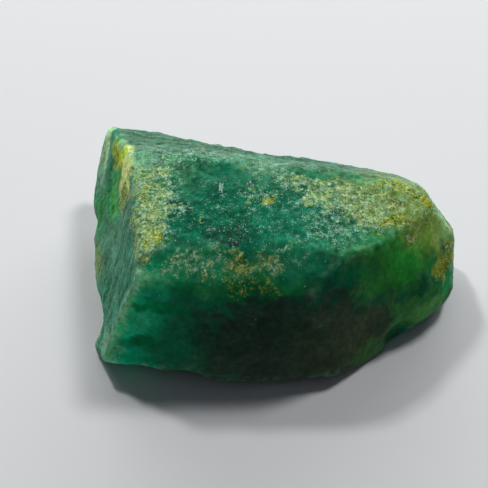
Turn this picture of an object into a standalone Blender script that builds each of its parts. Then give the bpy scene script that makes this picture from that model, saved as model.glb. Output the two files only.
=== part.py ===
"""Rough fluorite: one worn, cleaved lump of green crystal, about 43 mm long, lying on its flat underside.

It is made the way such a stone comes to be. Two blocks of crystal are split along flat cleavages
and joined into one, notches and chips are knocked out, and wear rounds the edges and leaves the
faces uneven. The underside is then ground flat at z = 0, where the stone rests.

Every length below is in millimetres. The long side lies along X and the tall front face looks
towards -Y.
"""

import math

import bmesh
import bpy
from mathutils import Matrix, Vector, noise

MM = 0.001

# A flat face is given by the direction that it looks in and by its distance from the CORE.
# The direction is a compass angle from +X, anticlockwise seen from above, and a tilt upwards.
CORE = Vector((0.0, 0.0, 8.0))
RAW_SIDE = 70.0

CLEAVAGES = {
    "underside": (0, -90, 8.3),
    "top": (112, 87, 8.7),
    "top_right": (20, 80, 9.1),
    "left_end": (-174, 21, 17.6),
    "left_edge": (169, 6, 23.0),
    "left_below": (180, -12, 21.9),
    "left_foot": (-155, -12, 23.4),
    "brow": (-90, 60, 11.15),
    "front_slope": (-89, 40, 12.2),
    "front_left": (-98, 14, 13.2),
    "front": (-88, 12.5, 12.05),
    "front_right": (-58, 16, 12.6),
    "right_front": (-38, 28, 14.8),
    "rim": (-53, -4, 15.15),
    "below_left": (-101, -46, 14.8),
    "below_front": (-97, -50, 14.2),
    "below_right": (-79, -48, 14.4),
    "below_rim": (-57, -41, 16.4),
    "below_rim_end": (-43, -38, 16.8),
    "right_below": (-24, -17, 20.4),
    "right_end": (-4, 4, 20.8),
    "right_back": (23, 27, 18.3),
    "right_corner": (46, 30, 16.2),
    "right_under": (2, -57, 17.2),
    "back_under": (98, -48, 15.2),
    "back_corner_under": (140, -40, 22.0),
}

# The front block ends at these two faces. The rear slab reaches further back, past its riser.
FRONT_BLOCK = {"split_slope": (82, 57, 10.2), "split_back": (66, -12, 7.0)}
REAR_SLAB = {
    "riser": (196, 10, -1.0),
    "slab_start": (93, 42, 11.0),
    "slab_slope": (75, 55, 10.25),
    "slab_back": (84, -14, 9.2),
}

# A notch takes away what lies in front of both of its faces, which meet at its tip.
NOTCHES = {
    "under_the_slab": ((-20.5, 8.3, 4.5), (174, -6), (215, -4)),
    "waist": ((-19.6, -6.9, 3.3), (191, -8), (150, 12)),
    "slab_end": ((15.7, 8.3, 11.7), (105, 30), (30, 25)),
    "back_step": ((9.0, 7.2, 5.6), (86, -18), (60, -72)),
}

# A scoop is the hollow that a shell-shaped chip leaves: part of an ellipsoid, turned about Z.
SCOOPS = {
    "rim_bite": ((15.4, -8.7, 1.0), (3.0, 2.3, 4.4), 40),
    "foot_end": ((-10.2, -14.8, 0.8), (3.2, 2.6, 2.4), 0),
    "slope_hollow": ((8.0, 7.2, 17.6), (6.2, 2.4, 2.6), -12),
    "back_chip": ((-10.0, 13.9, 3.2), (5.5, 3.4, 3.6), -24),
    "back_corner_chip": ((15.5, 9.4, 3.0), (3.8, 3.4, 3.6), -30),
    "underside_chip": ((6.0, -10.5, -3.5), (8.5, 4.5, 4.3), 14),
    "underside_hollow": ((-8.0, 4.0, -7.4), (4.5, 9.0, 7.8), 32),
}

SCOOP_ROUNDNESS = 5

# Wear: an even grid of this spacing is relaxed this many times, each time by this share.
WEAR_GRID = 0.33
WEAR_ROUNDS = 14
WEAR_SHARE = 0.5

# Relief: each swell has a height and the distance over which it rises and falls.
BROAD_SWELL, BROAD_SIZE = 0.40, 7.5
SMALL_SWELL, SMALL_SIZE = 0.20, 2.8
SMALL_START = Vector((7.1, 3.3, 1.7))

# The back slope is stepped in long low terraces, which run along the stone.
TERRACE_DEPTH, TERRACE_SIZE, TERRACE_LENGTH = 0.12, 1.3, 9.0
TERRACE_HEADING = -10
BACK_SLOPE = (79, 54)
OFF_SLOPE, ON_SLOPE = 0.90, 0.98

# The relief fades out between these two heights, so that the underside stays flat.
FLAT_BELOW, ROUGH_ABOVE = 0.6, 2.2

TRIANGLES_KEPT = 9000


def looking(azimuth, tilt):
    """The unit vector with this compass angle and upward tilt, both in degrees."""
    turn, rise = math.radians(azimuth), math.radians(tilt)
    level = math.cos(rise)
    return Vector((level * math.cos(turn), level * math.sin(turn), math.sin(rise)))


def clear_scene():
    for old in list(bpy.data.objects):
        bpy.data.objects.remove(old)


def split(block, point, outward):
    """Cut the block along a plane, throw away what is in front of it and close the cut."""
    geometry = block.verts[:] + block.edges[:] + block.faces[:]
    cut = bmesh.ops.bisect_plane(
        block, geom=geometry, plane_co=point, plane_no=outward, clear_outer=True
    )
    rim = [item for item in cut["geom_cut"] if isinstance(item, bmesh.types.BMEdge)]
    if rim:
        bmesh.ops.contextual_create(block, geom=rim)


def split_block(name, faces):
    """A convex block: a raw cube split along each (point, outward direction) in turn."""
    block = bmesh.new()
    bmesh.ops.create_cube(block, size=RAW_SIDE, matrix=Matrix.Translation(CORE))
    for point, outward in faces:
        split(block, point, outward)
    bmesh.ops.recalc_face_normals(block, faces=block.faces)
    bmesh.ops.scale(block, vec=(MM, MM, MM), verts=block.verts)
    mesh = bpy.data.meshes.new(name)
    block.to_mesh(mesh)
    block.free()
    made = bpy.data.objects.new(name, mesh)
    bpy.context.scene.collection.objects.link(made)
    return made


def cleaved_block(name, cleavages):
    """A block whose faces are given by direction and distance from the core."""
    faces = []
    for azimuth, tilt, distance in cleavages.values():
        outward = looking(azimuth, tilt)
        faces.append((CORE + outward * distance, outward))
    return split_block(name, faces)


def notch_cutter(name, tip, first, second):
    """The wedge of space in front of both faces. Its own sides look the other way."""
    tip = Vector(tip)
    return split_block(name, [(tip, -looking(*first)), (tip, -looking(*second))])


def scoop_cutter(name, centre, radii, turn):
    """A fine ellipsoid, turned about Z."""
    ball = bmesh.new()
    bmesh.ops.create_icosphere(ball, subdivisions=SCOOP_ROUNDNESS, radius=1.0)
    stretch = Matrix.Diagonal((*radii, 1.0))
    place = Matrix.Translation(Vector(centre)) @ Matrix.Rotation(math.radians(turn), 4, "Z")
    ball.transform(Matrix.Scale(MM, 4) @ place @ stretch)
    mesh = bpy.data.meshes.new(name)
    ball.to_mesh(mesh)
    ball.free()
    made = bpy.data.objects.new(name, mesh)
    bpy.context.scene.collection.objects.link(made)
    return made


def combine(stone, other, operation):
    """A Boolean with a helper object, which stays in the scene as a wire guide."""
    other.hide_render = True
    other.display_type = "WIRE"
    boolean = stone.modifiers.new(other.name, "BOOLEAN")
    boolean.object = other
    boolean.operation = operation
    boolean.solver = "EXACT"


def wear_edges(stone):
    """Rebuild the surface on an even grid and relax it, which rounds every edge a little."""
    grid = stone.modifiers.new("even grid", "REMESH")
    grid.mode = "VOXEL"
    grid.voxel_size = WEAR_GRID * MM
    relax = stone.modifiers.new("worn edges", "SMOOTH")
    relax.factor = WEAR_SHARE
    relax.iterations = WEAR_ROUNDS


def make_real(stone):
    """Replace the object's mesh by what its modifiers make of it."""
    graph = bpy.context.evaluated_depsgraph_get()
    worn = bpy.data.meshes.new_from_object(stone.evaluated_get(graph))
    stone.modifiers.clear()
    stone.data = worn
    worn.name = stone.name


def ramp(value, low, high):
    """0 below low, 1 above high, and an even climb between them."""
    return min(max((value - low) / (high - low), 0.0), 1.0)


def relief(point, facing):
    """How far the surface stands out of the cleavage at a point, in millimetres."""
    broad = BROAD_SWELL * noise.noise(point / BROAD_SIZE)
    small = SMALL_SWELL * noise.noise(point / SMALL_SIZE + SMALL_START)
    along = looking(TERRACE_HEADING, 0)
    squeezed = point - along * point.dot(along) * (1.0 - TERRACE_SIZE / TERRACE_LENGTH)
    terraces = TERRACE_DEPTH * noise.noise(squeezed / TERRACE_SIZE)
    on_slope = ramp(facing.dot(looking(*BACK_SLOPE)), OFF_SLOPE, ON_SLOPE)
    return broad + small + on_slope * terraces


def roughen(stone):
    """Move each point of the surface in or out, but leave the underside flat."""
    surface = bmesh.new()
    surface.from_mesh(stone.data)
    surface.normal_update()
    for vert in surface.verts:
        point = vert.co / MM
        height = relief(point, vert.normal) * ramp(point.z, FLAT_BELOW, ROUGH_ABOVE)
        vert.co += vert.normal * (height * MM)
    surface.to_mesh(stone.data)
    surface.free()


def thin_out(stone):
    """Keep only the facets that carry the shape."""
    fewer = stone.modifiers.new("fewer facets", "DECIMATE")
    triangles = sum(len(face.vertices) - 2 for face in stone.data.polygons)
    fewer.ratio = TRIANGLES_KEPT / triangles


def grind_flat(stone):
    """Take off whatever reaches below z = 0, so that the stone rests flat."""
    floor = split_block("floor", [(Vector((0.0, 0.0, 0.0)), Vector((0.0, 0.0, 1.0)))])
    combine(stone, floor, "DIFFERENCE")


def stand_at_origin(stone):
    """Put the middle of the stone's length and depth over the origin."""
    corners = [vert.co for vert in stone.data.vertices]
    middle_x = (min(co.x for co in corners) + max(co.x for co in corners)) / 2
    middle_y = (min(co.y for co in corners) + max(co.y for co in corners)) / 2
    stone.data.transform(Matrix.Translation((-middle_x, -middle_y, 0.0)))
    print(f"shift to the origin {-middle_x / MM:.2f}, {-middle_y / MM:.2f} mm")


def green_stone():
    """The crystal's plain green, glassy but frosted by wear."""
    material = bpy.data.materials.new("green fluorite")
    material.use_nodes = True
    shader = material.node_tree.nodes["Principled BSDF"]
    shader.inputs["Base Color"].default_value = (0.02, 0.16, 0.09, 1.0)
    shader.inputs["Roughness"].default_value = 0.45
    shader.inputs["Metallic"].default_value = 0.0
    return material


def build():
    clear_scene()
    stone = cleaved_block("rough_fluorite", CLEAVAGES | FRONT_BLOCK)
    combine(stone, cleaved_block("rear_slab", CLEAVAGES | REAR_SLAB), "UNION")
    for name, (tip, first, second) in NOTCHES.items():
        combine(stone, notch_cutter(name, tip, first, second), "DIFFERENCE")
    for name, (centre, radii, turn) in SCOOPS.items():
        combine(stone, scoop_cutter(name, centre, radii, turn), "DIFFERENCE")
    wear_edges(stone)
    make_real(stone)
    roughen(stone)
    thin_out(stone)
    grind_flat(stone)
    make_real(stone)
    stand_at_origin(stone)
    stone.data.materials.clear()
    stone.data.materials.append(green_stone())


build()
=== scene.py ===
# %% [markdown]
# # A rough green crystal on white paper
# A mineral in the rough is harder to model than a cut gem: almost nothing on it repeats.
# This lesson starts from the split block. It gives the block a fine skin, works out where crust
# grew on it, carves the relief that wear left, lays the crystal's colours over it, and scatters
# the crumbs of crust last.

# %% Load the block
import math

import bmesh
import bpy
import numpy as np
from mathutils import Matrix, Vector, noise


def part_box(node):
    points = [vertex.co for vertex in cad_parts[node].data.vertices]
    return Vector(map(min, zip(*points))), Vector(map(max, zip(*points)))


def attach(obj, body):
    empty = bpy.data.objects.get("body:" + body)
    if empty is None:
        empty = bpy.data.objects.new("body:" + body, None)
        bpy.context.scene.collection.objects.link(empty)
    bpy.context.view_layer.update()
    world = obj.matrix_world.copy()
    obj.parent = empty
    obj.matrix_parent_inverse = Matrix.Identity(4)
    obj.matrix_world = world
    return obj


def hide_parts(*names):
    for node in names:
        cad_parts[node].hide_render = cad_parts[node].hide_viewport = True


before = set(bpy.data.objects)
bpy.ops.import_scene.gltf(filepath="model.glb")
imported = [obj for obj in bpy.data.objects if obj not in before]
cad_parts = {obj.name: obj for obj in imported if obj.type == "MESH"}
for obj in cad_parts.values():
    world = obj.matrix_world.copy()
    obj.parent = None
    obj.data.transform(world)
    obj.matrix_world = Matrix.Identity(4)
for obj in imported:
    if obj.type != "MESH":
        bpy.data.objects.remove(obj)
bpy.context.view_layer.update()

MM = 0.001
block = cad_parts["rough_fluorite"]
lowest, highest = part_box("rough_fluorite")
print(f"the block is {(highest - lowest).x / MM:.1f} mm long and {(highest - lowest).z / MM:.1f} mm high")

# %% [markdown]
# ## The camera
# The picture is taken from the front and from 50 degrees above the table, with a long lens, so
# the stone is drawn almost without perspective. A close wide lens would make its front bulge.
# The camera looks along a slant in the YZ plane, so a single turn about X aims it.

# %% The camera
LOOKS_AT = Vector((-3.41, -0.48, 8.0)) * MM
DISTANCE = 240.0 * MM
RISE = math.radians(50.0)
LENS, SENSOR = 152.6, 36.0


def photographer():
    """The camera, standing in front of the stone and looking down at it."""
    data = bpy.data.cameras.new("camera")
    data.lens = LENS
    data.sensor_width = SENSOR
    made = bpy.data.objects.new("camera", data)
    made.location = LOOKS_AT + DISTANCE * Vector((0.0, -math.cos(RISE), math.sin(RISE)))
    made.rotation_euler = (math.pi / 2 - RISE, 0.0, 0.0)
    bpy.context.scene.collection.objects.link(made)
    bpy.context.scene.camera = made
    return made


camera = photographer()
print("the camera stands at", [round(value / MM) for value in camera.location], "mm")

# %% [markdown]
# ## Lights
# The shadows tell where the light comes from. Two lamps stand behind the stone, one to the left
# and one to the right, and each throws a shadow forward with a fairly firm border. A low broad
# window behind it lights the back slope and adds a long pale shadow. Nothing stands in front, so
# the near face is almost black. An area light gives a shadow a soft border, and a dim sky fills
# the rest.

# %% Lights
# Each light has a compass heading from the stone, a rise, a width, a height and a power.
LIGHTS = {
    "left lamp": (124.0, 55.0, 0.06, 0.06, 1.10),
    "right lamp": (44.0, 60.0, 0.10, 0.10, 1.25),
    "low window": (90.0, 24.0, 1.10, 0.22, 3.6),
}
LIGHT_DISTANCE = 0.60
SKY_COLOUR, SKY_STRENGTH = (0.80, 0.87, 1.0), 0.075


def direction(heading, rise):
    """The way that a compass heading, anticlockwise from +X, and a rise point, both in degrees."""
    turn, lift = math.radians(heading), math.radians(rise)
    level = math.cos(lift)
    return Vector((level * math.cos(turn), level * math.sin(turn), math.sin(lift)))


def soft_light(name, heading, rise, width, height, power):
    """An area light, aimed at the stone."""
    towards = direction(heading, rise)
    data = bpy.data.lights.new(name, "AREA")
    data.shape = "RECTANGLE"
    data.size = width
    data.size_y = height
    data.energy = power
    made = bpy.data.objects.new(name, data)
    made.location = towards * LIGHT_DISTANCE
    made.rotation_euler = towards.to_track_quat("Z", "Y").to_euler()
    bpy.context.scene.collection.objects.link(made)


def sky():
    """A dim even light from everywhere."""
    world = bpy.data.worlds.new("sky")
    world.use_nodes = True
    background = world.node_tree.nodes["Background"]
    background.inputs["Color"].default_value = (*SKY_COLOUR, 1.0)
    background.inputs["Strength"].default_value = SKY_STRENGTH
    bpy.context.scene.world = world


for light_name, light in LIGHTS.items():
    soft_light(light_name, *light)
sky()
print(f"{len(LIGHTS)} lights and a dim sky")

# %% [markdown]
# ## The table
# The stone lies on plain white paper. It could be a plane, but a plane shows its corners from the
# side, so it is a disc that is far wider than the stone. The Standard view keeps the paper white
# and the greens as deep as they are.

# %% The table
TABLE_RADIUS, TABLE_SIDES = 2.0, 96
PAPER_COLOUR = (0.80, 0.80, 0.81)


def white_paper():
    """Matt paper with hardly a highlight."""
    made = bpy.data.materials.new("white paper")
    made.use_nodes = True
    shader = made.node_tree.nodes["Principled BSDF"]
    shader.inputs["Base Color"].default_value = (*PAPER_COLOUR, 1.0)
    shader.inputs["Roughness"].default_value = 0.9
    shader.inputs["Specular IOR Level"].default_value = 0.2
    return made


def table():
    """A wide disc of paper, just under the stone."""
    disc = bmesh.new()
    bmesh.ops.create_circle(disc, cap_ends=True, radius=TABLE_RADIUS, segments=TABLE_SIDES)
    mesh = bpy.data.meshes.new("table")
    disc.to_mesh(mesh)
    disc.free()
    made = bpy.data.objects.new("table", mesh)
    bpy.context.scene.collection.objects.link(made)
    made.data.materials.append(white_paper())
    return made


paper_table = table()
bpy.context.scene.view_settings.view_transform = "Standard"
print(f"a table of white paper, {2 * TABLE_RADIUS:.0f} m across")

# %% [markdown]
# ## A fine skin for the block
# The block has the stone's facets and ledges, but its triangles are a millimetre wide, too
# coarse for grains. Subdividing keeps their uneven sizes. A voxel remesh lays an even net over
# the whole shape instead, so that relief comes out equally fine everywhere, and a few rounds of
# smoothing take away the steps that the voxels leave.

# %% A fine skin for the block
MERGE = 1e-7
NET = 0.215 * MM
SMOOTHING_SHARE, SMOOTHING_ROUNDS = 0.5, 5


def merged_copy(node, name):
    """A copy of a node as one closed skin: its triangles arrive loose."""
    skin = bmesh.new()
    skin.from_mesh(node.data)
    bmesh.ops.remove_doubles(skin, verts=skin.verts, dist=MERGE)
    mesh = bpy.data.meshes.new(name)
    skin.to_mesh(mesh)
    skin.free()
    made = bpy.data.objects.new(name, mesh)
    bpy.context.scene.collection.objects.link(made)
    return made


def apply_modifiers(piece):
    """Make the modifiers' result the piece's own mesh."""
    graph = bpy.context.evaluated_depsgraph_get()
    mesh = bpy.data.meshes.new_from_object(piece.evaluated_get(graph))
    piece.modifiers.clear()
    piece.data = mesh
    mesh.name = piece.name


def even_net(piece):
    """Lay a net of even squares over the piece."""
    net = piece.modifiers.new("even net", "REMESH")
    net.mode = "VOXEL"
    net.voxel_size = NET
    relax = piece.modifiers.new("relax", "SMOOTH")
    relax.factor = SMOOTHING_SHARE
    relax.iterations = SMOOTHING_ROUNDS
    apply_modifiers(piece)


stone = merged_copy(block, "crystal")
even_net(stone)
print(f"the skin has {2 * len(stone.data.polygons)} triangles")

# %% [markdown]
# ## Noise and patches
# Every later step asks the same questions of a point on the skin. Which patch is it in? Which way
# does it face? Is it on an edge? NumPy answers them for all points at once. A patch is an
# ellipsoid, but stains never end in a clean curve. So noise first pushes every point aside, and the
# ellipsoid is looked up at the pushed place, which bends and frays its border.

# %% The points of the skin
count = len(stone.data.vertices)
POINTS = np.empty(count * 3)
stone.data.vertices.foreach_get("co", POINTS)
POINTS = POINTS.reshape(-1, 3) / MM
FACING = np.empty(count * 3)
stone.data.vertices.foreach_get("normal", FACING)
FACING = FACING.reshape(-1, 3)
ENDS = np.empty(len(stone.data.edges) * 2, dtype=np.int32)
stone.data.edges.foreach_get("vertices", ENDS)
ENDS = ENDS.reshape(-1, 2)
print(f"{count} points, joined by {len(ENDS)} edges")

# %% Noise and patches
# Each push has a lump size and a reach in millimetres, and a place in the noise to start from.
PUSHES = [(2.2, 1.1, 5.0), (0.8, 0.55, 9.0), (0.45, 0.25, 13.0)]
AXIS_STARTS = (0.0, 20.0, 40.0)
COARSE_FRAY, FINE_FRAY = 0.30, 0.25
FULL_FRAY_SIZE = 8.0


def noise_field(size, start=0.0):
    """Smooth noise from -1 to 1 at every point. Its lumps are about size millimetres wide."""
    return np.array([noise.noise(Vector(point)) for point in POINTS / size + start])


def smooth_step(values, low, high):
    """0 below low, 1 above high, and a smooth climb between them."""
    part = np.clip((values - low) / (high - low), 0.0, 1.0)
    return part * part * (3.0 - 2.0 * part)


def lumps(size, start, low, high):
    """1 in the lumps of a noise and 0 between them. A lower low and high give more lumps."""
    return smooth_step(noise_field(size, start), low, high)


def pushed(size, reach, start):
    """How far noise pushes each point along X, Y and Z."""
    return reach * np.stack([noise_field(size, start + axis) for axis in AXIS_STARTS], axis=1)


PUSH = sum(pushed(*push) for push in PUSHES)
FRAY = COARSE_FRAY * noise_field(size=1.9) + FINE_FRAY * noise_field(size=0.7, start=5.0)


def patch(centre, radii, softness=0.45, wander=1.0):
    """1 inside this ragged ellipsoid, 0 outside it, and a climb at its border."""
    distance = np.linalg.norm((POINTS + wander * PUSH - np.array(centre)) / np.array(radii), axis=1)
    ragged = FRAY * min(1.0, sum(radii) / FULL_FRAY_SIZE)
    return 1.0 - smooth_step(distance + ragged, 1.0 - softness, 1.0 + softness)


print(f"noise pushes a point by {np.linalg.norm(PUSH, axis=1).mean():.2f} mm on average")

# %% [markdown]
# ## Faces and edges
# The stone has a level top, a frosted bevel behind it, a layered left end, a back and a dark
# front. A point belongs to the face whose outward direction its normal agrees with. It stands on
# an edge where it lies further out than the mean of its neighbours, which a few dozen rounds of
# averaging give.

# %% Faces and edges
# Each layered face has a direction that it looks in and one that its layers run in.
BEVEL_OUT, BEVEL_ALONG = Vector((0.12, 0.56, 0.80)), direction(-17, 6)
END_OUT, END_ALONG = Vector((-0.93, -0.10, 0.36)), direction(52, 61)
BACK_OUT, BACK_ALONG = Vector((0.15, 0.98, -0.12)), direction(-8, 3)
FRONT_OUT, UP = Vector((0.0, -0.97, 0.24)), Vector((0.0, 0.0, 1.0))
EDGE_ROUNDS = 60
EDGE_FROM, EDGE_FULL = 0.03, 0.16
TABLE_CLEAR_FROM, TABLE_CLEAR_FULL = 0.4, 1.6


def looks_towards(outward, low, high):
    """1 where the skin faces this way, 0 where it faces well away. Low and high are cosines."""
    return smooth_step(FACING @ np.array(outward.normalized()), low, high)


def neighbours_mean(values, rounds):
    """Average each value with its neighbours' values, round after round."""
    links = np.bincount(ENDS[:, 0], minlength=count) + np.bincount(ENDS[:, 1], minlength=count)
    for _ in range(rounds):
        towards_end = np.bincount(ENDS[:, 1], weights=values[ENDS[:, 0]], minlength=count)
        towards_start = np.bincount(ENDS[:, 0], weights=values[ENDS[:, 1]], minlength=count)
        values = 0.5 * values + 0.5 * (towards_end + towards_start) / links
    return values


smoothed = np.stack([neighbours_mean(POINTS[:, axis], EDGE_ROUNDS) for axis in range(3)], axis=1)
STANDS_OUT = ((POINTS - smoothed) * FACING).sum(axis=1)
EDGE = smooth_step(STANDS_OUT, EDGE_FROM, EDGE_FULL)
ON_TOP = looks_towards(UP, low=0.72, high=0.95)
ON_BEVEL = looks_towards(BEVEL_OUT, low=0.90, high=0.965)
ON_LEFT_END = looks_towards(END_OUT, low=0.72, high=0.90)
ON_BACK = looks_towards(BACK_OUT, low=0.72, high=0.92)
ON_FRONT = looks_towards(FRONT_OUT, low=0.20, high=0.75)
OFF_THE_TABLE = smooth_step(POINTS[:, 2], TABLE_CLEAR_FROM, TABLE_CLEAR_FULL)
print(f"{ON_TOP.mean():.0%} of the points are on top, {(EDGE > 0.5).mean():.0%} on an edge")

# %% [markdown]
# ## Crust
# The crust is limonite, an iron rust that grew in the hollows of the old surface. It lies mostly on
# top, thickest along the left ridge and towards the right end. Thin crust lets the green show
# through and looks like mint, thicker crust is yellow, and where iron gathered it is ochre. So each
# place has two numbers, how much crust it has and how yellow that is.

# %% Crust
# A place is a centre, three radii, a strength and a yellowness.
CRUST_PLACES = [
    # A thin film over the whole top.
    ((2.0, -3.0, 16.8), (15.0, 7.0, 3.0), 0.22, 0.10),
    # The top's upper left and its rear edge.
    ((-12.8, 4.4, 16.0), (4.0, 3.4, 2.4), 0.55, 0.00),
    ((-7.5, 6.4, 15.6), (4.0, 1.7, 1.6), 0.45, 0.10),
    ((-0.6, 3.8, 16.4), (3.8, 1.5, 1.4), 0.52, 0.20),
    ((-12.5, 0.8, 16.5), (1.9, 2.8, 2.0), 0.84, 0.22),
    ((-11.6, -2.2, 16.6), (1.8, 2.6, 2.0), 0.52, 0.15),
    ((2.2, 1.6, 16.6), (2.8, 1.5, 1.5), 0.78, 0.12),
    # The left ridge.
    ((-14.9, 1.6, 16.2), (2.0, 3.6, 2.2), 0.78, 0.35),
    ((-14.2, -2.6, 16.5), (2.6, 3.6, 2.6), 0.92, 0.34),
    ((-14.4, -7.2, 16.4), (2.3, 3.4, 2.6), 0.90, 0.44),
    # The top's front edge.
    ((-6.0, -10.8, 15.6), (7.0, 1.9, 1.8), 0.50, 0.38),
    ((-9.0, -9.9, 16.1), (3.8, 1.9, 1.7), 0.70, 0.10),
    ((-13.8, -9.6, 16.1), (1.8, 1.5, 1.5), 0.46, 0.22),
    ((2.2, -9.0, 16.4), (2.0, 1.8, 1.5), 0.46, 0.05),
    # The middle and the right of the top.
    ((-1.9, -1.0, 16.8), (2.2, 1.9, 2.0), 0.48, 0.45),
    ((6.8, -0.4, 16.5), (4.8, 2.8, 2.0), 0.90, 0.36),
    ((6.6, -4.4, 16.2), (5.0, 3.2, 2.0), 0.52, 0.00),
    ((10.6, -1.2, 15.4), (4.6, 3.6, 2.6), 0.78, 0.40),
    # The right end.
    ((17.4, 0.4, 13.4), (4.4, 4.6, 3.6), 0.56, 0.62),
    ((20.8, -1.6, 9.0), (1.6, 3.2, 3.0), 0.56, 0.80),
    ((18.6, -6.4, 3.6), (4.5, 3.5, 4.5), 0.05, 0.90),
    # Rusty spots on the front edge.
    ((-4.0, -9.9, 16.0), (1.9, 1.2, 1.4), 0.78, 0.72),
    ((-0.8, -10.3, 15.7), (2.0, 1.1, 1.4), 0.66, 0.40),
    ((-2.4, -12.0, 14.4), (4.0, 1.4, 1.2), 0.44, 0.90),
    # Small rusty spots on top.
    ((-13.4, -6.9, 16.8), (0.9, 1.0, 1.0), 0.95, 0.90),
    ((-8.1, -4.6, 16.9), (0.4, 0.4, 0.6), 1.00, 0.95),
    ((-14.6, 0.4, 16.5), (0.6, 0.7, 0.8), 1.00, 0.85),
    ((-0.9, -1.2, 16.8), (0.9, 0.7, 0.8), 0.90, 0.85),
    # Rusty streaks towards the right end.
    ((13.2, -2.9, 15.0), (2.8, 0.9, 1.4), 0.98, 0.85),
    ((16.0, -4.2, 13.6), (1.4, 1.0, 1.4), 0.98, 0.85),
    ((17.4, 1.0, 14.0), (2.6, 0.8, 1.4), 0.90, 0.90),
    ((14.6, 2.2, 14.8), (3.6, 0.7, 1.2), 0.80, 0.85),
    # The left end and its foot, and a stain on the right end.
    ((-18.4, 9.6, 12.4), (1.3, 1.8, 1.5), 0.36, 1.00),
    ((-17.0, 4.8, 14.6), (1.3, 4.2, 1.8), 0.40, 0.45),
    ((-17.6, 2.0, 13.0), (0.9, 1.8, 1.8), 0.95, 0.75),
    ((-19.2, -12.6, 4.6), (1.8, 2.2, 2.8), 0.50, 0.05),
    ((19.8, -3.4, 7.6), (1.6, 1.8, 1.6), 0.60, 0.95),
    # The back.
    ((-9.0, 12.5, 5.5), (7.0, 2.5, 3.4), 0.60, 0.35),
    ((11.0, 8.8, 6.0), (7.0, 3.0, 2.4), 0.66, 0.60),
    ((-16.0, 12.6, 3.0), (3.5, 3.0, 1.8), 0.62, 0.75),
    ((3.0, 8.6, 2.6), (3.0, 2.0, 1.3), 0.62, 0.85),
]
YELLOW_ELSEWHERE = 0.2


def crusted(places):
    """How much crust each point has, from the strongest place there, and how yellow the last is."""
    amount, yellow = np.zeros(count), np.full(count, YELLOW_ELSEWHERE)
    for centre, radii, strength, yellowness in places:
        here = patch(centre, radii)
        amount = np.maximum(amount, strength * here)
        yellow += (yellowness - yellow) * here
    return amount, yellow


crust, yellow = crusted(CRUST_PLACES)
print(f"crust on {(crust > 0.5).mean():.0%} of the stone")

# %% [markdown]
# ## Relief
# Worn crystal is never flat. Broad swells, small dents and fine grain are noises of three sizes
# added together. Pits are the peaks of one more noise, turned inwards. The layers of the bevel,
# the left end and the back show as fine lines, so the noise there is stretched until it becomes
# stripes. Moving the points themselves, rather than faking it with bump, roughens the outline too.

# %% The lines of the layered faces
LINE_LENGTH = 11.0
WAVINESS, WAVE_SIZE = 0.5, 3.0
FINE_LINE_WIDTH, FINE_LINE_START = 0.45, 5.3
WIDE_SHARE, FINE_SHARE = 0.7, 0.6


def stripes(along, outward, width, start):
    """Lines on a layered face: noise drawn out along one direction, a little wavy."""
    across = np.array(along.cross(outward).normalized())
    across_lines = (POINTS @ across + WAVINESS * noise_field(WAVE_SIZE, start)) / width
    along_lines = POINTS @ np.array(along) / (width * LINE_LENGTH)
    return np.array([noise.noise(Vector((*pair, start))) for pair in zip(across_lines, along_lines)])


def layered(along, outward, width, start):
    """Wide lines with finer ones between them."""
    wide = stripes(along, outward, width, start)
    fine = stripes(along, outward, width * FINE_LINE_WIDTH, start + FINE_LINE_START)
    return WIDE_SHARE * wide + FINE_SHARE * fine


lines = ON_BEVEL * layered(BEVEL_ALONG, BEVEL_OUT, width=0.90, start=0.5)
lines += ON_LEFT_END * layered(END_ALONG, END_OUT, width=0.75, start=2.5)
lines += ON_BACK * layered(BACK_ALONG, BACK_OUT, width=1.00, start=4.5)
print(f"the lines run from {lines.min():.2f} to {lines.max():.2f}")

# %% Relief
# Each roughness has a height and a width in millimetres, and a place in the noise to start from.
ROUGHNESS = {"swells": (0.13, 3.4, 1.0), "dents": (0.09, 1.1, 2.0), "grain": (0.045, 0.45, 3.0)}
STRIPE_DEPTH, PIT_DEPTH, CHIP_DEPTH, CRUST_HEIGHT = 0.10, 0.14, 0.26, 0.09
SIDE_PITS = 0.35
RECESS = ((-18.3, 5.4, 11.6), (1.6, 3.6, 3.4))
RECESS_DEPTH = 0.35

pits = lumps(size=0.65, start=4.0, low=0.35, high=0.75) * (SIDE_PITS + (1.0 - SIDE_PITS) * ON_TOP)
chips = EDGE * lumps(size=1.5, start=6.0, low=0.05, high=0.6)
crumble = crust * lumps(size=0.5, start=7.0, low=-0.2, high=0.6)
HEIGHT = sum(height * noise_field(width, start) for height, width, start in ROUGHNESS.values())
HEIGHT += STRIPE_DEPTH * lines + CRUST_HEIGHT * crumble
HEIGHT -= PIT_DEPTH * pits + CHIP_DEPTH * chips + RECESS_DEPTH * patch(*RECESS)
HEIGHT *= OFF_THE_TABLE
print(f"the relief runs from {HEIGHT.min():.2f} to {HEIGHT.max():.2f} mm")

# %% [markdown]
# ## The crystal's colours
# The body colour changes from place to place: teal on top, emerald where the front left corner
# glows, almost black in the middle of the front, and lime to olive at the thin right end. Each
# colour is laid over the last one like a glaze, through a patch. Some values are painted light and
# shade: the emerald of the front left corner and the green under the brow are painted brighter as
# painted glow, the dark green where that glow fades and the black of the front's middle are partly
# painted shade, and one olive facet of the right end, turned away from the lamps, is painted
# lighter. The others are those of the clear crystal, which looks much darker than it is where
# little light gets in.

# %% Colours of the top
TEAL = (0.001, 0.122, 0.060)
DEEP_TEAL = (0.001, 0.075, 0.038)
LIGHT_TEAL = (0.006, 0.195, 0.105)
PALE_TEAL = (0.230, 0.500, 0.300)
MINT = (0.045, 0.220, 0.105)
ASH_GREEN = (0.230, 0.620, 0.370)
OLIVE_GREEN = (0.110, 0.270, 0.045)


def glaze(colour, centre, radii, thickness=1.0, softness=0.45, wander=1.0, only=1.0):
    """A colour laid over a patch. A thin glaze lets the last one show. Only is a mask on the patch."""
    return colour, patch(centre, radii, softness, wander) * only * thickness


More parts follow.
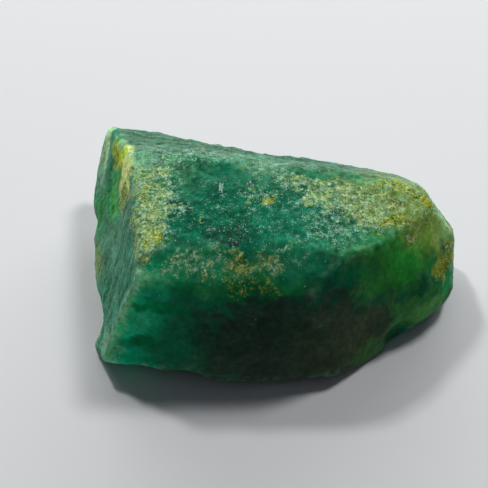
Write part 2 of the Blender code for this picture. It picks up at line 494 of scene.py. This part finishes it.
TOP_GLAZES = [
    glaze(MINT, (-12.6, 4.6, 16.0), (4.4, 3.6, 2.4), softness=0.8),
    glaze(MINT, (5.0, 2.6, 16.0), (7.0, 2.4, 2.0), thickness=0.7, softness=0.8),
    glaze(PALE_TEAL, (-15.5, 5.0, 16.1), (2.2, 2.6, 1.6), thickness=0.8, softness=0.7, wander=0.6),
    glaze(ASH_GREEN, (-0.4, 4.0, 16.3), (3.6, 1.6, 1.4), thickness=0.25, softness=0.7, wander=0.6),
    glaze(OLIVE_GREEN, (9.4, -7.8, 15.9), (3.8, 1.6, 1.4), thickness=0.5, softness=0.8, wander=0.6),
    glaze(LIGHT_TEAL, (5.4, -5.4, 16.4), (5.4, 3.8, 2.0), softness=0.7),
    glaze(DEEP_TEAL, (-4.6, -6.8, 17.0), (2.6, 1.8, 1.6), thickness=0.9),
]
print(f"{len(TOP_GLAZES)} glazes on the top")

# %% Colours of the front
# Black green is the deep clear crystal; on the front it is also painted shade, where the face is turned
# away from the lamps.
BLACK_GREEN_AND_PAINTED_SHADE = (0.024, 0.056, 0.034)
SMOKE_GREEN = (0.066, 0.100, 0.072)
BROWN_GREEN = (0.058, 0.084, 0.044)
BOTTLE_GREEN = (0.001, 0.110, 0.026)
# Painted glow: a bright green for the band under the brow, which faces away from the lamps.
BROW_PAINTED_GLOW = (0.014, 0.260, 0.078)
BAND_GREEN = (0.001, 0.240, 0.075)
EDGE_GREEN = (0.012, 0.370, 0.155)
# Painted glow: an emerald brighter than the crystal's own, so the front left corner and the front edge
# glow.
EMERALD_PAINTED_GLOW = (0.006, 0.560, 0.270)
DARK_EMERALD = (0.008, 0.190, 0.086)

FRONT_GLAZES = [
    glaze(EDGE_GREEN, (-9.6, -10.6, 15.7), (8.0, 2.2, 1.3), softness=0.6),
    # Darker green where the corner's glow fades: partly painted shade.
    glaze(DARK_EMERALD, (-9.6, -13.4, 8.5), (5.0, 3.0, 7.0), softness=0.8),
    # Painted shade: the middle of the front, turned away from the lamps, is made almost black, partly the
    # deep crystal's own colour.
    glaze(BLACK_GREEN_AND_PAINTED_SHADE, (2.2, -14.0, 6.6), (12.8, 5.2, 7.2), softness=0.36),
    glaze(SMOKE_GREEN, (1.5, -15.0, 1.6), (12.0, 4.0, 3.2), softness=0.8),
    glaze(BROWN_GREEN, (9.5, -12.5, 4.6), (6.5, 5.0, 6.0), softness=0.6),
    # Painted glow under the brow.
    glaze(BROW_PAINTED_GLOW, (-5.5, -12.2, 14.6), (9.5, 1.8, 1.3), thickness=0.9),
    # Painted glow on the front left corner, where no lamp reaches.
    glaze(EMERALD_PAINTED_GLOW, (-16.6, -13.0, 8.0), (4.0, 3.2, 9.0), softness=0.6),
    glaze(MINT, (-13.6, -11.8, 13.6), (2.6, 1.8, 2.2), thickness=0.10),
    glaze(PALE_TEAL, (-15.4, -13.0, 9.6), (1.8, 1.4, 1.6), thickness=0.14, softness=0.7),
    glaze(BAND_GREEN, (-13.8, -12.7, 11.5), (3.4, 1.6, 0.6), thickness=0.9),
    glaze(MINT, (-9.0, -9.9, 16.1), (4.2, 2.2, 1.8), thickness=0.6, softness=0.8),
    glaze(EDGE_GREEN, (-13.4, -10.8, 15.4), (3.4, 2.0, 1.9), thickness=0.8, softness=0.8, wander=0.5),
    # Darker green below the glowing corner: partly painted shade.
    glaze(DARK_EMERALD, (-12.0, -13.8, 5.4), (3.4, 2.4, 3.6), thickness=0.9, softness=0.9, wander=0.6),
    glaze(BOTTLE_GREEN, (-15.4, -13.4, 6.5), (2.0, 1.5, 1.1), thickness=0.8, softness=0.8),
]
print(f"{len(FRONT_GLAZES)} glazes on the front")

# %% Colours of the right end
LIME = (0.030, 0.220, 0.030)
FRESH_GREEN = (0.014, 0.310, 0.040)
RIM_GREEN = (0.060, 0.240, 0.055)
# Painted light: this olive is lighter than the stone's own, for a facet of the right end that faces away
# from the lamps.
OLIVE_PAINTED_LIGHT = (0.320, 0.560, 0.080)
OLIVE = (0.400, 0.440, 0.030)
PALE_GREEN = (0.600, 0.820, 0.440)

RIGHT_END_GLAZES = [
    glaze(LIME, (14.6, -6.2, 12.2), (6.4, 4.6, 4.2), softness=0.6, only=1.0 - 0.5 * ON_TOP),
    glaze(RIM_GREEN, (17.2, -7.2, 4.2), (4.6, 2.6, 2.6)),
    glaze(RIM_GREEN, (10.6, -11.8, 2.0), (3.4, 2.0, 1.6), thickness=0.5),
    # Painted light on the right end's top facet.
    glaze(OLIVE_PAINTED_LIGHT, (18.4, -1.8, 12.2), (2.8, 3.0, 2.2), thickness=0.9, softness=0.7, wander=0.6),
    glaze(OLIVE, (20.8, -1.2, 9.4), (1.6, 3.8, 4.2), thickness=0.8, only=lumps(1.1, 16.0, -0.4, 0.3)),
    glaze(FRESH_GREEN, (15.6, -6.2, 12.2), (3.2, 2.4, 2.4), thickness=0.7, softness=0.8, wander=0.6),
    glaze(PALE_GREEN, (20.0, -0.6, 11.4), (1.6, 2.2, 1.9), thickness=0.35, softness=0.7, wander=0.6),
    glaze(OLIVE, (19.3, -3.7, 8.1), (1.5, 1.2, 1.1), thickness=0.7),
    glaze(BAND_GREEN, (19.9, -4.7, 6.1), (1.2, 1.6, 1.4), thickness=0.9),
]
print(f"{len(RIGHT_END_GLAZES)} glazes on the right end")

# %% [markdown]
# ## The left end and the back
# The left end and the bevel, where layers break off, are a frosted grey-green. On the left end a
# leaf of clear green is bare, with a lemon bar and a rusty corner above it. These three are masks
# of their own, because frost and wear have to keep off them later. The bar hardly wanders, so its
# border stays crisp. The back is out of sight in the picture, so its colours are a guess.

# %% Colours of the left end
GREY_GREEN = (0.040, 0.240, 0.135)
FROST_GREEN = (0.055, 0.150, 0.092)
LEAF_GREEN = (0.040, 0.290, 0.036)
NUB_GREEN = (0.006, 0.170, 0.034)

NUB = ((-20.4, 6.2, 6.8), (2.0, 2.6, 2.6))
LEAST_LEAF, LEAST_OCHRE = 0.65, 0.4
NEARLY_ALL = 0.95
leaf = np.maximum(
    patch((-18.6, 4.8, 11.3), (1.8, 3.8, 3.5), softness=0.6, wander=0.8),
    patch(*NUB, softness=0.6, wander=0.4),
)
leaf *= LEAST_LEAF + (1.0 - LEAST_LEAF) * lumps(size=0.9, start=17.0, low=-0.4, high=0.3)
lemon = patch((-17.1, 5.0, 14.0), (1.15, 4.2, 2.3), softness=0.4, wander=0.4)
ochre = np.maximum(
    patch((-18.5, 9.6, 12.5), (1.5, 1.8, 1.5), softness=0.5, wander=0.4),
    patch((-17.9, 7.9, 13.6), (1.2, 1.4, 1.2), softness=0.5),
)
ochre *= LEAST_OCHRE + (1.0 - LEAST_OCHRE) * lumps(size=0.8, start=18.0, low=-0.7, high=0.0)
bare = np.maximum(leaf, np.maximum(lemon, ochre))

LEFT_END_GLAZES = [
    (GREY_GREEN, ON_LEFT_END * NEARLY_ALL),
    (FROST_GREEN, ON_BEVEL),
    glaze(PALE_TEAL, (-15.0, 10.2, 14.2), (4.5, 2.5, 2.2), thickness=0.22, softness=0.8),
    glaze(PALE_TEAL, (-18.3, -2.0, 10.0), (1.8, 3.4, 3.4), thickness=0.28, softness=0.8, wander=0.6),
    (LEAF_GREEN, leaf * NEARLY_ALL),
    glaze(NUB_GREEN, *NUB, thickness=0.85, softness=0.6, wander=0.4),
    glaze(PALE_TEAL, (-20.4, 11.4, 7.8), (1.4, 3.0, 3.2), thickness=0.8, wander=0.5),
    glaze(PALE_GREEN, (-19.8, 13.2, 10.0), (0.9, 2.2, 3.6), thickness=0.9),
    glaze(ASH_GREEN, (-19.2, -12.6, 4.2), (1.5, 2.0, 2.6), thickness=0.85),
]
print(f"{len(LEFT_END_GLAZES)} glazes on the left end, {(bare > 0.5).mean():.1%} of the stone is bare")

# %% Colours of the rear edge and the back
BACK_GLAZES = [
    glaze(ASH_GREEN, (-1.6, 5.8, 15.7), (5.0, 1.6, 1.4), thickness=0.35, softness=0.7),
    glaze(PALE_TEAL, (13.0, 2.8, 15.1), (4.4, 1.0, 1.1), thickness=0.7),
    glaze(DARK_EMERALD, (-13.0, 13.0, 5.0), (6.0, 4.0, 5.0), softness=0.7, only=ON_BACK),
    glaze(BROWN_GREEN, (-2.0, 11.0, 3.0), (5.0, 3.0, 4.0), thickness=0.8, softness=0.7, only=ON_BACK),
    glaze(BLACK_GREEN_AND_PAINTED_SHADE, (8.0, 9.0, 6.0), (5.0, 3.0, 4.0), thickness=0.8, softness=0.7, only=ON_BACK),
    glaze(LIME, (16.0, 6.0, 5.0), (4.0, 3.0, 4.5), thickness=0.5, softness=0.7),
]
print(f"{len(BACK_GLAZES)} glazes on the rear edge and the back")

# %% [markdown]
# ## Last touches
# Some colours lie over all the others: iron stains at both ends and on the front edge, the paler
# greens along that edge, one inky flaw, and the lemon bar and rusty corner of the left end. Then
# the whole stack of glazes is mixed into one colour for each point.

# %% Last touches
MOSS = (0.235, 0.320, 0.055)
INK = (0.012, 0.030, 0.026)
STRAW_GREEN = (0.180, 0.360, 0.110)
LEMON = (0.780, 0.840, 0.260)
OCHRE = (0.680, 0.700, 0.020)

LAST_GLAZES = [
    glaze(OLIVE, (-20.8, 0.2, 4.3), (1.4, 2.4, 1.8), thickness=0.45, softness=0.9),
    glaze(STRAW_GREEN, (-2.4, -10.2, 15.9), (4.0, 1.4, 1.4), thickness=0.15),
    glaze(MINT, (2.4, -9.2, 16.1), (3.2, 2.2, 1.8), thickness=0.6, softness=0.7, wander=0.6),
    glaze(LIGHT_TEAL, (-0.8, -8.0, 16.7), (3.6, 1.5, 1.5), thickness=0.8, softness=0.7, wander=0.6),
    # Painted glow: emerald along the front edge of the top.
    glaze(EMERALD_PAINTED_GLOW, (-9.6, -10.4, 15.9), (5.0, 1.9, 1.7), thickness=0.22, softness=0.8, wander=0.6),
    glaze(EMERALD_PAINTED_GLOW, (2.0, -9.4, 16.0), (3.4, 1.9, 1.7), thickness=0.22, softness=0.8, wander=0.6),
    glaze(MOSS, (14.8, 0.6, 14.4), (6.4, 4.6, 3.4), thickness=0.8, softness=0.6),
    glaze(INK, (-4.8, -8.0, 17.0), (2.2, 1.3, 1.4), only=lumps(0.7, 15.0, -0.1, 0.3)),
    (LEMON, lemon),
    (OCHRE, ochre),
]
GLAZES = TOP_GLAZES + FRONT_GLAZES + RIGHT_END_GLAZES + LEFT_END_GLAZES + BACK_GLAZES + LAST_GLAZES


def glazed(base, glazes):
    """Lay each colour over the last one, as thickly as its patch says."""
    colour = np.tile(np.array(base), (count, 1))
    for glaze_colour, amount in glazes:
        colour += (np.array(glaze_colour) - colour) * amount[:, None]
    return colour


tint = glazed(TEAL, GLAZES)
print(f"{len(GLAZES)} glazes over the teal")

# %% [markdown]
# ## Frost and worn edges
# Frost lies on the faces where layers break off. It is thickest on the bevel, and thicker still on
# the layers that stand out. Wear bruises the edges pale, mostly at the two ends of the stone,
# where it knocked against others. Both keep off the bare places of the left end.

# %% Frost and worn edges
BEVEL_FROST, END_FROST, BACK_FROST = 0.85, 0.56, 0.45
LAYER_FROST = 0.5
MIDDLE_WEAR, REAR_WEAR, CORNER_WEAR = 0.25, 0.5, 0.9
FRONT_LEFT_CORNER = ((-16.0, -11.8, 11.6), (2.6, 3.4, 7.0))
# Where the left end, the right end and the rear begin, and where they are full, in millimetres.
LEFT_REACH, RIGHT_REACH, REAR_REACH = (12.0, 14.5), (15.0, 18.0), (4.0, 8.0)
BROAD_BRUISES = 0.6

frost = np.maximum(np.maximum(BEVEL_FROST * ON_BEVEL, END_FROST * ON_LEFT_END), BACK_FROST * ON_BACK)
frost = (frost + LAYER_FROST * lines) * (1.0 - bare)

near_left = smooth_step(-POINTS[:, 0], *LEFT_REACH)
near_right = smooth_step(POINTS[:, 0], *RIGHT_REACH)
near_rear = smooth_step(POINTS[:, 1], *REAR_REACH)
by_length = MIDDLE_WEAR + (1.0 - MIDDLE_WEAR) * np.maximum(near_left, near_right)
by_depth = 1.0 - (1.0 - REAR_WEAR) * near_rear
bruise_noise = noise_field(size=0.8, start=9.0) + BROAD_BRUISES * noise_field(size=3.0, start=6.0)
bruises = smooth_step(bruise_noise, low=-0.4, high=0.4)
edge_wear = EDGE * bruises * by_length * (1.0 - bare) * by_depth
edge_wear = np.maximum(edge_wear, CORNER_WEAR * EDGE * patch(*FRONT_LEFT_CORNER))
print(f"frost on {(frost > 0.4).mean():.0%} of the stone, wear on {(edge_wear > 0.4).mean():.1%}")

# %% [markdown]
# ## Onto the skin
# The relief moves each point along its own normal. What the material needs to know is painted on
# the mesh as attributes, one number or colour for each point. A texture picture would need a UV
# map, and its seams would show on a shape like this.

# %% Onto the skin
def raise_skin(heights):
    """Move every point out along its own normal by so many millimetres."""
    moved = (POINTS + FACING * heights[:, None]) * MM
    stone.data.vertices.foreach_set("co", moved.ravel())
    stone.data.update()
    return moved


def paint(name, values):
    """Keep one number per point on the mesh, where a material can read it."""
    layer = stone.data.attributes.new(name, "FLOAT", "POINT")
    layer.data.foreach_set("value", np.clip(values, 0.0, 1.0).astype(np.float32))


def paint_colour(name, values):
    """Keep one colour per point on the mesh."""
    layer = stone.data.color_attributes.new(name, "FLOAT_COLOR", "POINT")
    opaque = np.concatenate([values, np.ones((count, 1))], axis=1)
    layer.data.foreach_set("color", opaque.astype(np.float32).ravel())


SKIN = raise_skin(HEIGHT)
paint_colour("tint", tint)
PAINTED = {
    "crust": crust,
    "yellow": yellow,
    "frost": frost,
    "edge_wear": edge_wear,
    "lines": 0.5 + 0.5 * lines,
    "calm": ON_FRONT,
    "on_end": ON_LEFT_END,
}
for name, values in PAINTED.items():
    paint(name, values)
stone.data.shade_smooth()
print("painted: tint,", ", ".join(PAINTED))

# %% [markdown]
# ## Wiring helpers
# A material is a graph of small nodes, and writing each link by hand hides what it does. These
# helpers make the nodes and wire them, so that a finish reads like a recipe. All noise is
# measured on the object in millimetres, so a scale is simply the lumps in a millimetre.

# %% Wiring helpers
def node(tree, kind, inputs=None, **settings):
    """A new node with these settings, and each input set to a value or wired to a socket."""
    made = tree.nodes.new(kind)
    for name, value in settings.items():
        setattr(made, name, value)
    for name, value in (inputs or {}).items():
        if isinstance(value, bpy.types.NodeSocket):
            tree.links.new(value, made.inputs[name])
        else:
            made.inputs[name].default_value = value
    return made


def calculate(tree, operation, *numbers):
    """These numbers put through one operation, such as ADD, MULTIPLY or MULTIPLY_ADD."""
    return node(tree, "ShaderNodeMath", dict(enumerate(numbers)), operation=operation).outputs[0]


def scaled(tree, vector, factor):
    """A vector or a colour times one number."""
    return node(tree, "ShaderNodeVectorMath", {0: vector, "Scale": factor}, operation="SCALE").outputs[0]


def climb(tree, value, low, high, bottom=0.0, top=1.0):
    """Bottom below low, top above high, and a smooth climb between them."""
    inputs = {"Value": value, "From Min": low, "From Max": high, "To Min": bottom, "To Max": top}
    return node(tree, "ShaderNodeMapRange", inputs, interpolation_type="SMOOTHSTEP").outputs["Result"]


def blend(tree, amount, first, second):
    """The first colour where amount is 0, the second where it is 1."""
    return node(tree, "ShaderNodeMix", {0: amount, 6: first, 7: second}, data_type="RGBA").outputs[2]


def ramp(tree, value, stops):
    """Colours at these places from 0 to 1, and even blends between them."""
    made = node(tree, "ShaderNodeValToRGB", {"Fac": value})
    bands = made.color_ramp.elements
    while len(bands) < len(stops):
        bands.new(1.0)
    for band, (place, colour) in zip(bands, stops):
        band.position = place
        band.color = (*colour, 1.0)
    return made.outputs["Color"]


def painted(tree, name, output="Fac"):
    """A number or colour that was painted on the mesh."""
    return node(tree, "ShaderNodeAttribute", attribute_name=name).outputs[output]


def in_millimetres(tree):
    """The place on the object, in millimetres."""
    return scaled(tree, node(tree, "ShaderNodeTexCoord").outputs["Object"], 1 / MM)


def speckle(tree, where, per_mm, detail=3.0, roughness=0.6, warp=0.0):
    """Noise from 0 to 1, with this many lumps in a millimetre. Warp draws the lumps out to wisps."""
    inputs = {"Vector": where, "Scale": per_mm, "Detail": detail, "Roughness": roughness}
    return node(tree, "ShaderNodeTexNoise", inputs | {"Distortion": warp}).outputs["Fac"]


print("nine helpers are ready")

# %% [markdown]
# ## Body, frost and worn edges
# The glazes are smooth, and real crystal isn't, so clouds and a fine mottle vary them. On the
# front they are half as strong, because the dark clear face is calm. Frost is made of layers,
# light and dark in turn, and noise drawn out along the layers gives their broken edges. Last come
# pale bruises where an edge is worn.

# %% Body, frost and worn edges
WORN = (0.38, 0.64, 0.42, 1)
WORN_OLIVE = (0.20, 0.25, 0.05, 1)
FROST_LIGHT = (0.26, 0.39, 0.29, 1)
FROST_DARK = (0.030, 0.095, 0.058, 1)
DRAWN_OUT = 0.92
NOISE_SHARE, LINE_SHARE = 0.9, 0.6
CALM_MOTTLE = 0.45


def clouded(tree, where, colour):
    """The crystal's body colour with soft clouds and a fine mottle in it, calmer on the front."""
    broad = speckle(tree, where, per_mm=0.35, detail=3.0, roughness=0.55, warp=0.5)
    fine = speckle(tree, where, per_mm=1.5, detail=5.0, roughness=0.7, warp=0.3)
    clouds = climb(tree, broad, 0.35, 0.65, bottom=0.75, top=1.25)
    mottle = climb(tree, fine, 0.36, 0.64, bottom=0.62, top=1.42)
    uneven = calculate(tree, "SUBTRACT", calculate(tree, "MULTIPLY", clouds, mottle), 1.0)
    reach = climb(tree, painted(tree, "calm"), 0.0, 1.0, bottom=1.0, top=CALM_MOTTLE)
    return scaled(tree, colour, calculate(tree, "MULTIPLY_ADD", uneven, reach, 1.0))


def scratches(tree, where, along, per_mm):
    """Fine noise drawn out along one direction."""
    measured = node(tree, "ShaderNodeVectorMath", {0: where, 1: along}, operation="DOT_PRODUCT")
    taken = calculate(tree, "MULTIPLY", measured.outputs["Value"], DRAWN_OUT)
    shift = scaled(tree, along, taken)
    drawn = node(tree, "ShaderNodeVectorMath", {0: where, 1: shift}, operation="SUBTRACT").outputs[0]
    return speckle(tree, drawn, per_mm, detail=4.0, roughness=0.65)


def frosted(tree, where, colour):
    """Layers of frosted crystal, light and dark in turn, on the bevel, the left end and the back."""
    on_slopes = scratches(tree, where, BEVEL_ALONG, per_mm=2.6)
    on_end = scratches(tree, where, END_ALONG, per_mm=2.2)
    fine = blend(tree, painted(tree, "on_end"), on_slopes, on_end)
    broken = calculate(tree, "MULTIPLY", fine, NOISE_SHARE)
    layers = calculate(tree, "MULTIPLY_ADD", painted(tree, "lines"), LINE_SHARE, broken)
    tone = blend(tree, climb(tree, layers, 0.64, 0.88), FROST_DARK, FROST_LIGHT)
    clumps = speckle(tree, where, per_mm=3.0, detail=4.0, roughness=0.7)
    gaps = climb(tree, clumps, 0.38, 0.60, bottom=0.10, top=0.62)
    return blend(tree, calculate(tree, "MULTIPLY", painted(tree, "frost"), gaps), colour, tone)


def worn(tree, where, colour):
    """Pale bruises on the edges, olive where there is iron near."""
    bruise = blend(tree, climb(tree, painted(tree, "yellow"), 0.5, 0.9), WORN, WORN_OLIVE)
    clumps = speckle(tree, where, per_mm=1.3, detail=4.0, roughness=0.65)
    thickness = climb(tree, clumps, 0.36, 0.60, bottom=0.15, top=0.85)
    amount = calculate(tree, "MULTIPLY", painted(tree, "edge_wear"), thickness)
    return blend(tree, amount, colour, bruise)


print("frost runs from", FROST_DARK[:3], "to", FROST_LIGHT[:3])

# %% [markdown]
# ## Crust and flecks
# Crust is never one colour. A ramp turns noise into dark gaps and pale grains, and there are
# three ramps, for mint, straw and ochre crust. How yellow the place is chooses between them.
# Where a patch thins out, wisps of crust are left, so noise decides what is covered. Tiny pale
# flecks, partly grains and partly painted glints, lie on the clear crystal between the patches.

# %% Crust and flecks
MINT_CRUST = [
    (0.41, (0.016, 0.150, 0.065)),
    (0.49, (0.100, 0.310, 0.145)),
    (0.56, (0.320, 0.560, 0.330)),
    (0.63, (0.660, 0.820, 0.600)),
]
STRAW_CRUST = [
    (0.40, (0.080, 0.180, 0.036)),
    (0.48, (0.195, 0.330, 0.086)),
    (0.56, (0.400, 0.540, 0.220)),
    (0.63, (0.640, 0.760, 0.440)),
]
OCHRE_CRUST = [
    (0.41, (0.022, 0.066, 0.003)),
    (0.49, (0.210, 0.265, 0.014)),
    (0.56, (0.460, 0.510, 0.060)),
    (0.63, (0.620, 0.670, 0.220)),
]
# Pale flecks: partly grains, partly painted glints of tiny crystal faces.
FLECK_AND_PAINTED_GLINT = (0.40, 0.69, 0.57, 1)
STRAW_FROM, STRAW_FULL = 0.05, 0.45
OCHRE_FROM, OCHRE_FULL = 0.60, 0.90
HUE_SPREAD = 1.8
CLOSER_WISPS = 0.32
FLECK_CLUMPING, FLECKS_NEAR_CRUST, FLECKS_ON_FRONT = 0.5, 0.15, -0.14


def crust_colour(tree, where):
    """Mottled crust, from mint through straw to ochre."""
    tone = speckle(tree, where, per_mm=2.5, detail=5.0, roughness=0.72, warp=0.9)
    shifted = calculate(tree, "SUBTRACT", painted(tree, "yellow"), HUE_SPREAD / 2)
    hue = calculate(tree, "MULTIPLY_ADD", speckle(tree, where, per_mm=1.1), HUE_SPREAD, shifted)
    mint = ramp(tree, tone, MINT_CRUST)
    straw = ramp(tree, tone, STRAW_CRUST)
    rusty = ramp(tree, tone, OCHRE_CRUST)
    colour = blend(tree, climb(tree, hue, STRAW_FROM, STRAW_FULL), mint, straw)
    return blend(tree, climb(tree, hue, OCHRE_FROM, OCHRE_FULL), colour, rusty)


def crust_film(tree, where):
    """How much of the crystal the crust hides: wisps, closer together in its middle, and a haze."""
    crust_here = painted(tree, "crust")
    fine = speckle(tree, where, per_mm=1.5, detail=6.0, roughness=0.75, warp=0.5)
    wisps = calculate(tree, "MULTIPLY_ADD", crust_here, CLOSER_WISPS, fine)
    haze = climb(tree, crust_here, 0.50, 1.0, top=0.45)
    return calculate(tree, "MAXIMUM", climb(tree, wisps, 0.65, 0.76), haze)


def flecks(tree, where):
    """Pale flecks in clumps, partly grains and partly painted glints. There are hardly any on the calm
    front.
    """
    grains = speckle(tree, where, per_mm=4.2, detail=5.0, roughness=0.85)
    broad = speckle(tree, where, per_mm=0.9)
    clumps = calculate(tree, "MULTIPLY_ADD", broad, FLECK_CLUMPING, grains)
    more = calculate(tree, "MULTIPLY_ADD", painted(tree, "crust"), FLECKS_NEAR_CRUST, clumps)
    fewer = calculate(tree, "MULTIPLY_ADD", painted(tree, "calm"), FLECKS_ON_FRONT, more)
    return climb(tree, fewer, 0.88, 0.95, top=0.85)


print(f"{len(MINT_CRUST)} tones in each of three ramps")

# %% [markdown]
# ## The crystal's material
# Light sinks into the crystal, loses its red on the way and comes out green somewhere else, so
# the front left corner glows although no lamp reaches it. Subsurface scattering does that: it
# gathers the light that falls on the stone within a few millimetres. Green travels furthest. The
# brighter emerald and green painted on that corner and under the brow are painted glow that adds
# to it. Frost and crust are opaque, so there the scattering is turned down. The surface itself is
# waxy, with hardly a highlight, so the specular level is low.

# %% The crystal's material
RUSTY_GREEN = (0.020, 0.100, 0.010, 1)
SCATTER_MM = (0.25, 3.5, 1.8)
SPECULAR = 0.02
WAXY, EARTHY = 0.38, 0.80
COVERED_SCATTER = 0.15
BUMP_HEIGHT, BUMP_STRENGTH = 0.07 * MM, 0.6
FILM_HEIGHT = 0.9


def stained(tree, colour):
    """Iron soaks into the crystal below a yellow crust."""
    rust = climb(tree, painted(tree, "yellow"), 0.50, 1.0, top=0.7)
    return blend(tree, calculate(tree, "MULTIPLY", painted(tree, "crust"), rust), colour, RUSTY_GREEN)


def grainy(tree, where, film):
    """Bump from fine noise, with the crust standing above the crystal."""
    noisy = speckle(tree, where, per_mm=4.5, detail=3.0, roughness=0.7)
    heights = calculate(tree, "MULTIPLY_ADD", film, FILM_HEIGHT, noisy)
    inputs = {"Strength": BUMP_STRENGTH, "Distance": BUMP_HEIGHT, "Height": heights}
    return node(tree, "ShaderNodeBump", inputs).outputs["Normal"]


def crystal_material():
    """Translucent green crystal with frost and crust over it."""
    made = bpy.data.materials.new("green crystal")
    made.use_nodes = True
    tree = made.node_tree
    shader = tree.nodes["Principled BSDF"]
    where = in_millimetres(tree)

    colour = clouded(tree, where, painted(tree, "tint", "Color"))
    colour = worn(tree, where, frosted(tree, where, stained(tree, colour)))
    film = crust_film(tree, where)
    colour = blend(tree, flecks(tree, where), colour, FLECK_AND_PAINTED_GLINT)
    colour = blend(tree, film, colour, crust_colour(tree, where))

    cover = calculate(tree, "MAXIMUM", film, painted(tree, "frost"))
    tree.links.new(colour, shader.inputs["Base Color"])
    tree.links.new(climb(tree, cover, 0.0, 1.0, WAXY, EARTHY), shader.inputs["Roughness"])
    tree.links.new(climb(tree, cover, 0.0, 1.0, 1.0, COVERED_SCATTER), shader.inputs["Subsurface Weight"])
    tree.links.new(grainy(tree, where, film), shader.inputs["Normal"])
    shader.inputs["Subsurface Radius"].default_value = SCATTER_MM
    shader.inputs["Subsurface Scale"].default_value = MM
    shader.inputs["Specular IOR Level"].default_value = SPECULAR
    return made


stone.data.materials.clear()
stone.data.materials.append(crystal_material())
print(f"green light travels {max(SCATTER_MM)} mm in the crystal")

# %% [markdown]
# ## Where the crumbs lie
# Close up, the crust is made of crumbs a tenth of a millimetre wide, finer than the skin's net.
# Where they land is drawn by lot, with more lots for the points that have more crust. A few stray
# onto clear crystal, and a tight row of pale ones makes the bright glint on top.

# %% Where the crumbs lie
SEED = 11
CRUMBS = 6500
CROWDING = 1.5
STRAY, STRAY_ON_SIDES = 0.003, 0.03
GLINT = patch((-6.0, 0.6, 16.8), (0.30, 0.75, 1.5), softness=0.2, wander=0.2)
GLINT_DENSITY = 3.0

lots = np.random.default_rng(SEED)
density = crust ** CROWDING * lumps(size=0.7, start=12.0, low=0.0, high=0.45)
density += GLINT_DENSITY * GLINT
chance = (density + STRAY * ON_TOP + STRAY_ON_SIDES * STRAY) * OFF_THE_TABLE
chosen = lots.choice(count, size=CRUMBS, p=chance / chance.sum())
print(f"{CRUMBS} crumbs, {ON_TOP[chosen].mean():.0%} of them on top")

# %% [markdown]
# ## Crumbs of crust
# A crumb is a squashed icosphere, more than half sunk in the skin. It has only twenty faces, because
# there are thousands of crumbs. Instances would be lost in an export, so one crumb is made with a
# bmesh operator, then copied, turned and joined into a single mesh.

# %% Crumbs of crust
CRUMB_RADIUS, CRUMB_SPREAD = 0.045, 0.38
CRUMB_SINK = 0.25
SQUASH_ACROSS, SQUASH_DOWN = (0.6, 1.0), (0.5, 0.9)
JITTER = 0.09


def one_crumb():
    """A rounded crumb, one unit in radius."""
    crumb = bmesh.new()
    bmesh.ops.create_icosphere(crumb, subdivisions=1, radius=1.0)
    return crumb


def crumb_places():
    """Where each crumb goes: on the skin, turned at random and flattened against it."""
    for index in chosen:
        outward = Vector(FACING[index])
        radius = CRUMB_RADIUS * math.exp(CRUMB_SPREAD * lots.standard_normal())
        around = Matrix.Rotation(lots.uniform(0.0, 2.0 * math.pi), 4, "Z")
        squash = Matrix.Diagonal((1.0, lots.uniform(*SQUASH_ACROSS), lots.uniform(*SQUASH_DOWN), 1.0))
        stand = outward.to_track_quat("Z", "Y").to_matrix().to_4x4()
        aside = stand @ Vector((lots.uniform(-JITTER, JITTER), lots.uniform(-JITTER, JITTER), 0.0))
        centre = Vector(SKIN[index]) + (aside - outward * radius * CRUMB_SINK) * MM
        yield Matrix.Translation(centre) @ stand @ around @ squash @ Matrix.Scale(radius * MM, 4)


def crumb_mesh():
    """All crumbs joined into one mesh, and the number of points in each."""
    crumb = one_crumb()
    every = bmesh.new()
    spare = bpy.data.meshes.new("spare crumb")
    for place in crumb_places():
        copy = crumb.copy()
        copy.transform(place)
        copy.to_mesh(spare)
        copy.free()
        every.from_mesh(spare)
    mesh = bpy.data.meshes.new("crust_crumbs")
    every.to_mesh(mesh)
    every.free()
    bpy.data.meshes.remove(spare)
    return mesh, len(crumb.verts)


mesh, corners = crumb_mesh()
mesh.shade_smooth()
crumbs = bpy.data.objects.new("crust_crumbs", mesh)
bpy.context.scene.collection.objects.link(crumbs)
print(f"{len(mesh.polygons)} faces on {CRUMBS} crumbs")

# %% [markdown]
# ## The crumbs' material
# One colour for all crumbs would look like paint. Each crumb gets a tone of its own, painted on
# its points, and a ramp turns the tone into mint, straw, ochre or brown. Where there is rust, the
# tones are browner. The crumbs of the glint are the palest.

# %% The crumbs' material
CRUMB_TONES = [
    (0.0, (0.42, 0.70, 0.54)),
    (0.4, (0.46, 0.62, 0.30)),
    (0.7, (0.42, 0.44, 0.07)),
    (1.0, (0.14, 0.15, 0.01)),
]
YELLOW_TONE, TONE_SPREAD = 0.60, 0.14


def crumb_tones():
    """A tone for each crumb, from pale through yellow to brown, repeated on all its points."""
    tone = YELLOW_TONE * yellow[chosen] - GLINT[chosen] + lots.normal(0.0, TONE_SPREAD, CRUMBS)
    return np.repeat(np.clip(tone, 0.0, 1.0), corners)


def crumb_material():
    """Dull earthy crumbs, from mint through straw and ochre to brown."""
    made = bpy.data.materials.new("crust crumbs")
    made.use_nodes = True
    tree = made.node_tree
    shader = tree.nodes["Principled BSDF"]
    tree.links.new(ramp(tree, painted(tree, "tone"), CRUMB_TONES), shader.inputs["Base Color"])
    shader.inputs["Roughness"].default_value = 0.75
    shader.inputs["Specular IOR Level"].default_value = 0.3
    return made


tones = crumb_tones()
layer = mesh.attributes.new("tone", "FLOAT", "POINT")
layer.data.foreach_set("value", tones.astype(np.float32))
mesh.materials.append(crumb_material())
print(f"the mean tone is {tones.mean():.2f}")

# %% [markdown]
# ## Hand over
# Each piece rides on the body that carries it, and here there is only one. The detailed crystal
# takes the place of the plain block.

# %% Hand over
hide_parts("rough_fluorite")
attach(stone, "root")
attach(crumbs, "root")
